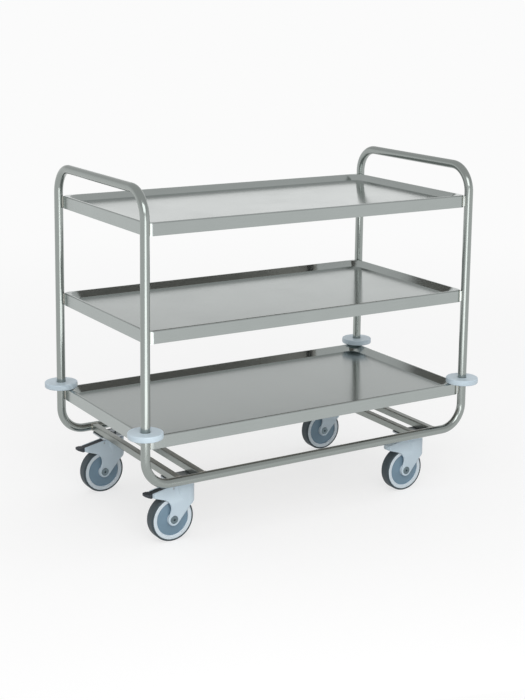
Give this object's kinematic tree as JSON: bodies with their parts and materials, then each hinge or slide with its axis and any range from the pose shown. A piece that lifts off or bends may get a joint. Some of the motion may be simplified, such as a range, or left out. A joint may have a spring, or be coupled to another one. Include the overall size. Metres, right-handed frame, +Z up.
{
  "type": "serving trolley",
  "caption": "Tiered serving trolley: bent round-tube frame with pressed tray shelves, a push handle at each end, bumper rollers on the posts and swivel casters, braked at one end.",
  "frame": {"origin": "on the floor, below the middle of the frame", "axes": "+Z up, +X along the length away from the braked casters, -Y is the pictured long side"},
  "size_m": [1.14, 0.63, 0.968],
  "materials": {
    "stainless_tube": "ground stainless tube, semi-gloss",
    "stainless_sheet": "fine ground stainless sheet, semi-gloss",
    "zinc_steel": "zinc plated",
    "pale_plastic": "satin moulded",
    "ring_plastic": "satin moulded",
    "cover_plastic": "satin moulded",
    "tread_rubber": "matt",
    "dark_plastic": "satin moulded"
  },
  "bodies": {
    "frame": {"bottom_shelf": "stainless_sheet", "front_base_rail": "stainless_tube", "front_left_caster_plate": "zinc_steel", "front_right_caster_plate": "zinc_steel", "king_pins": "zinc_steel", "left_end_frame": "stainless_tube", "left_inner_cross_bar": "stainless_tube", "left_outer_cross_bar": "stainless_tube", "middle_shelf": "stainless_sheet", "plate_bolts": "zinc_steel", "plate_nuts": "zinc_steel", "post_spigots": "stainless_tube", "rear_base_rail": "stainless_tube", "rear_left_caster_plate": "zinc_steel", "rear_right_caster_plate": "zinc_steel", "right_end_frame": "stainless_tube", "right_inner_cross_bar": "stainless_tube", "right_outer_cross_bar": "stainless_tube", "shelf_saddles": "stainless_tube", "shelf_stiffeners": "stainless_sheet", "top_shelf": "stainless_sheet"},
    "front_left_bumper_roller": {"front_left_bumper": "pale_plastic"},
    "front_left_caster": {"front_left_fork": "pale_plastic", "front_left_swivel_bearing": "zinc_steel", "front_left_axle": "zinc_steel", "front_left_pedal_pin": "zinc_steel"},
    "front_left_wheel": {"front_left_wheel_rim": "ring_plastic", "front_left_tyre": "tread_rubber", "front_left_wheel_covers": "cover_plastic", "front_left_wheel_bearings": "zinc_steel"},
    "front_left_pedal": {"front_left_brake_pedal": "dark_plastic", "front_left_brake_block": "dark_plastic"},
    "rear_left_bumper_roller": {"rear_left_bumper": "pale_plastic"},
    "rear_left_caster": {"rear_left_fork": "pale_plastic", "rear_left_swivel_bearing": "zinc_steel", "rear_left_axle": "zinc_steel", "rear_left_pedal_pin": "zinc_steel"},
    "rear_left_wheel": {"rear_left_wheel_rim": "ring_plastic", "rear_left_tyre": "tread_rubber", "rear_left_wheel_covers": "cover_plastic", "rear_left_wheel_bearings": "zinc_steel"},
    "rear_left_pedal": {"rear_left_brake_pedal": "dark_plastic", "rear_left_brake_block": "dark_plastic"},
    "front_right_bumper_roller": {"front_right_bumper": "pale_plastic"},
    "front_right_caster": {"front_right_fork": "pale_plastic", "front_right_swivel_bearing": "zinc_steel", "front_right_axle": "zinc_steel"},
    "front_right_wheel": {"front_right_wheel_rim": "ring_plastic", "front_right_tyre": "tread_rubber", "front_right_wheel_covers": "cover_plastic", "front_right_wheel_bearings": "zinc_steel"},
    "rear_right_bumper_roller": {"rear_right_bumper": "pale_plastic"},
    "rear_right_caster": {"rear_right_fork": "pale_plastic", "rear_right_swivel_bearing": "zinc_steel", "rear_right_axle": "zinc_steel"},
    "rear_right_wheel": {"rear_right_wheel_rim": "ring_plastic", "rear_right_tyre": "tread_rubber", "rear_right_wheel_covers": "cover_plastic", "rear_right_wheel_bearings": "zinc_steel"}
  },
  "joints": [
    {"name": "front_left_bumper_turn", "type": "hinge", "parent": "frame", "child": "front_left_bumper_roller", "pos_m": [-0.523, -0.268, 0.3142], "axis": [0, 0, 1], "continuous": true},
    {"name": "front_left_swivel", "type": "hinge", "parent": "frame", "child": "front_left_caster", "pos_m": [-0.386, -0.214, 0.15], "axis": [0, 0, 1], "continuous": true},
    {"name": "front_left_wheel_spin", "type": "hinge", "parent": "front_left_caster", "child": "front_left_wheel", "pos_m": [-0.423, -0.214, 0.0625], "axis": [0, 1, 0], "continuous": true},
    {"name": "front_left_pedal_press", "type": "hinge", "parent": "front_left_caster", "child": "front_left_pedal", "pos_m": [-0.42, -0.214, 0.1465], "axis": [0, -1, 0], "range_deg": [0, 8]},
    {"name": "rear_left_bumper_turn", "type": "hinge", "parent": "frame", "child": "rear_left_bumper_roller", "pos_m": [-0.523, 0.268, 0.3142], "axis": [0, 0, 1], "continuous": true},
    {"name": "rear_left_swivel", "type": "hinge", "parent": "frame", "child": "rear_left_caster", "pos_m": [-0.386, 0.214, 0.15], "axis": [0, 0, 1], "continuous": true},
    {"name": "rear_left_wheel_spin", "type": "hinge", "parent": "rear_left_caster", "child": "rear_left_wheel", "pos_m": [-0.423, 0.214, 0.0625], "axis": [0, 1, 0], "continuous": true},
    {"name": "rear_left_pedal_press", "type": "hinge", "parent": "rear_left_caster", "child": "rear_left_pedal", "pos_m": [-0.42, 0.214, 0.1465], "axis": [0, -1, 0], "range_deg": [0, 8]},
    {"name": "front_right_bumper_turn", "type": "hinge", "parent": "frame", "child": "front_right_bumper_roller", "pos_m": [0.523, -0.268, 0.3142], "axis": [0, 0, 1], "continuous": true},
    {"name": "front_right_swivel", "type": "hinge", "parent": "frame", "child": "front_right_caster", "pos_m": [0.386, -0.214, 0.15], "axis": [0, 0, 1], "continuous": true},
    {"name": "front_right_wheel_spin", "type": "hinge", "parent": "front_right_caster", "child": "front_right_wheel", "pos_m": [0.349, -0.214, 0.0625], "axis": [0, 1, 0], "continuous": true},
    {"name": "rear_right_bumper_turn", "type": "hinge", "parent": "frame", "child": "rear_right_bumper_roller", "pos_m": [0.523, 0.268, 0.3142], "axis": [0, 0, 1], "continuous": true},
    {"name": "rear_right_swivel", "type": "hinge", "parent": "frame", "child": "rear_right_caster", "pos_m": [0.386, 0.214, 0.15], "axis": [0, 0, 1], "continuous": true},
    {"name": "rear_right_wheel_spin", "type": "hinge", "parent": "rear_right_caster", "child": "rear_right_wheel", "pos_m": [0.349, 0.214, 0.0625], "axis": [0, 1, 0], "continuous": true}
  ]
}
